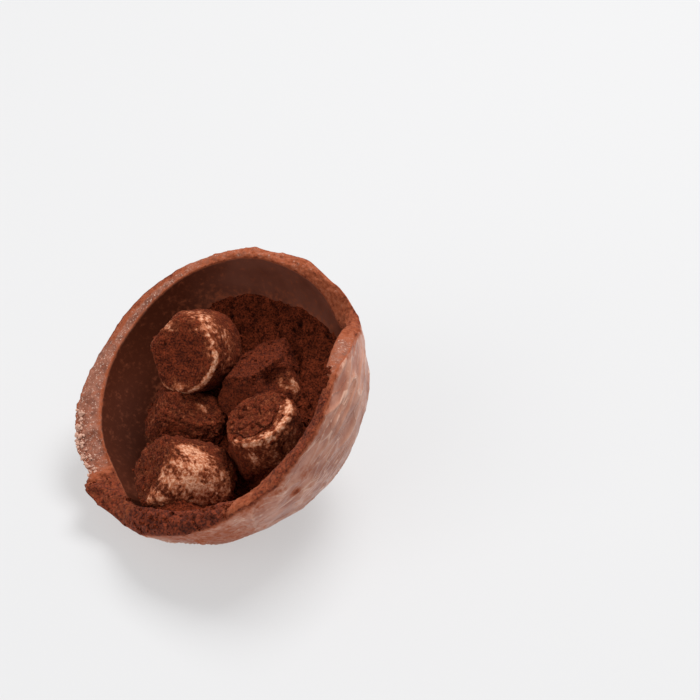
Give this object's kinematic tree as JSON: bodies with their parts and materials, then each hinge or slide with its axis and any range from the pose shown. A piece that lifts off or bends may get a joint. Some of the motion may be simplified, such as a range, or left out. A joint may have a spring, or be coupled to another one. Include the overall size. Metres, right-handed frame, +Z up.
{
  "type": "hot chocolate sphere half",
  "caption": "Broken half of a hollow milk chocolate sphere that leans on a small flat foot, with cocoa powder and mini marshmallows in its hollow.",
  "frame": {"origin": "middle of the flat foot under the ball, on the surface that it stands on", "axes": "+Z up; the broken mouth faces up and towards -X and a little -Y; +Y points to the back, where the powder is banked"},
  "size_m": [0.05, 0.0538, 0.0369],
  "materials": {
    "milk_chocolate": "hand-dipped milk chocolate, satin, with streaky ridges outside, smooth inside and grainy along the break",
    "cocoa_powder": "dry, matt, clumped cocoa powder",
    "marshmallow": "soft matt marshmallow, dusted with cocoa that leaves pale patches"
  },
  "bodies": {
    "root": {"shell": "milk_chocolate", "cocoa": "cocoa_powder", "marshmallow_back_left": "marshmallow", "marshmallow_back_right": "marshmallow", "marshmallow_middle": "marshmallow", "marshmallow_right": "marshmallow", "marshmallow_front": "marshmallow"}
  },
  "joints": []
}
